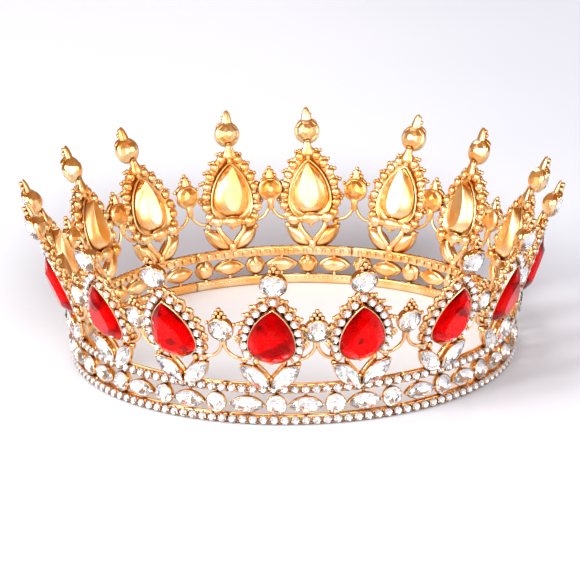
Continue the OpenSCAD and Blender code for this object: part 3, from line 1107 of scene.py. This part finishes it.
def floorMaterial():
    # near white, with painted shade fading in towards the right and a darker painted shadow close
    # behind the crown
    material, tree, shader = newMaterial("paleFloor", {
        "Roughness": studio["floorRough"], "Specular IOR Level": studio["floorShine"],
    })
    scale = {"Patch Scale": studio["floorPatches"]}
    surface = addNode(tree, "ShaderNodeGroup", scale, node_tree=castSkinAndShade).outputs
    place = addNode(tree, "ShaderNodeNewGeometry").outputs["Position"]
    axes = addNode(tree, "ShaderNodeSeparateXYZ")
    reach = addNode(tree, "ShaderNodeVectorMath", operation="LENGTH")
    aside = addNode(tree, "ShaderNodeMath", operation="ABSOLUTE")
    tree.links.new(place, axes.inputs[0])
    tree.links.new(place, reach.inputs[0])
    tree.links.new(axes.outputs["X"], aside.inputs[0])
    soft = {"interpolation_type": "SMOOTHSTEP"}
    # painted shade: the floor fades to a pale grey towards the right, with an uneven edge
    uneven = someOf(tree, surface["Patches"], studio["floorUneven"], axes.outputs["X"])
    paintedSideShade = mapped(tree, uneven, studio["shadeAcross"], **soft)
    tone = mixColors(tree, paintedSideShade, studio["floor"], studio["floorShade"])
    # painted shadow: a darker patch of floor close behind the crown
    shade = mapped(tree, axes.outputs["Y"], studio["behindFrom"], **soft)
    for source, edges in (
        (aside.outputs[0], "behindWide"), (reach.outputs["Value"], "behindInner"),
        (reach.outputs["Value"], "behindOuter"),
    ):
        shade = product(tree, shade, mapped(tree, source, studio[edges], **soft))
    tone = mixColors(tree, shade, tone, studio["floorPaintedShadow"])
    tree.links.new(tone, shader.inputs["Base Color"])
    return material


half = studio["floorSize"] / 2
corners = [(-half, -half, 0), (half, -half, 0), (half, half, 0), (-half, half, 0)]
floorMesh = bpy.data.meshes.new("floor")
floorMesh.from_pydata(corners, [], [(0, 1, 2, 3)])
floorMesh.materials.append(floorMaterial())
floor = bpy.data.objects.new("floor", floorMesh)
bpy.context.scene.collection.objects.link(floor)


def softLight(name, sizes):
    light = bpy.data.lights.new(name, "AREA")
    light.shape = "DISK"
    light.size = sizes["size"]
    light.energy = sizes["power"]
    lamp = bpy.data.objects.new(name, light)
    lamp.location = sizes["place"]
    lamp.rotation_euler = (-Vector(sizes["place"])).to_track_quat("-Z", "Y").to_euler()
    bpy.context.scene.collection.objects.link(lamp)
    return lamp


for name in ("key", "front", "fill", "back", "above"):
    lamp = softLight(name + "Light", studio[name])
lamp.visible_glossy = False  # the one above lights the floor and stays out of the metal

world = bpy.data.worlds.new("softSky")
world.use_nodes = True
sky = world.node_tree
way = addNode(sky, "ShaderNodeSeparateXYZ")
sky.links.new(addNode(sky, "ShaderNodeTexCoord").outputs["Generated"], way.inputs[0])
glossy = addNode(sky, "ShaderNodeLightPath").outputs["Is Glossy Ray"]
rise = mapped(sky, way.outputs["Z"], studio["zenithRise"])
far = mapped(sky, way.outputs["Y"], studio["backdropFar"])
around = mixColors(sky, product(sky, far, glossy), studio["horizon"], studio["backdrop"])
overhead = mixColors(sky, glossy, studio["zenith"], studio["mirrored"])
sky.links.new(mixColors(sky, rise, around, overhead), sky.nodes["Background"].inputs["Color"])
bpy.context.scene.world = world
bpy.context.scene.view_settings.view_transform = "Standard"

view = {
    "distance": 1.3095,
    "elevation": 0.3196,
    "roll": -0.0172,
    "target": (-0.00091, 0, 0.02157),
    "turn": 0.1017 - radians(crown["spireAt"]),
    "focal": 3816.77,  # in pixels of the picture
    "picture": 580,
    "sensor": 36.0,
    "farthest": 50,
}


def placeCamera():
    camera = bpy.data.cameras.new("camera")
    camera.sensor_width = view["sensor"]
    camera.lens = view["focal"] * camera.sensor_width / view["picture"]
    camera.clip_end = view["farthest"]
    e, roll = view["elevation"], view["roll"]
    ahead = Vector((0, cos(e), -sin(e)))
    up, right = Vector((0, sin(e), cos(e))), Vector((1, 0, 0))
    rolledRight, rolledUp = right * cos(roll) + up * sin(roll), up * cos(roll) - right * sin(roll)
    place = Matrix.Translation(Vector(view["target"]) - ahead * view["distance"])
    facing = Matrix((rolledRight, rolledUp, -ahead)).transposed().to_4x4()
    holder = bpy.data.objects.new("camera", camera)
    bpy.context.scene.collection.objects.link(holder)
    holder.matrix_world = Matrix.Rotation(view["turn"], 4, "Z") @ place @ facing
    bpy.context.scene.camera = holder


placeCamera()
print("studio set")
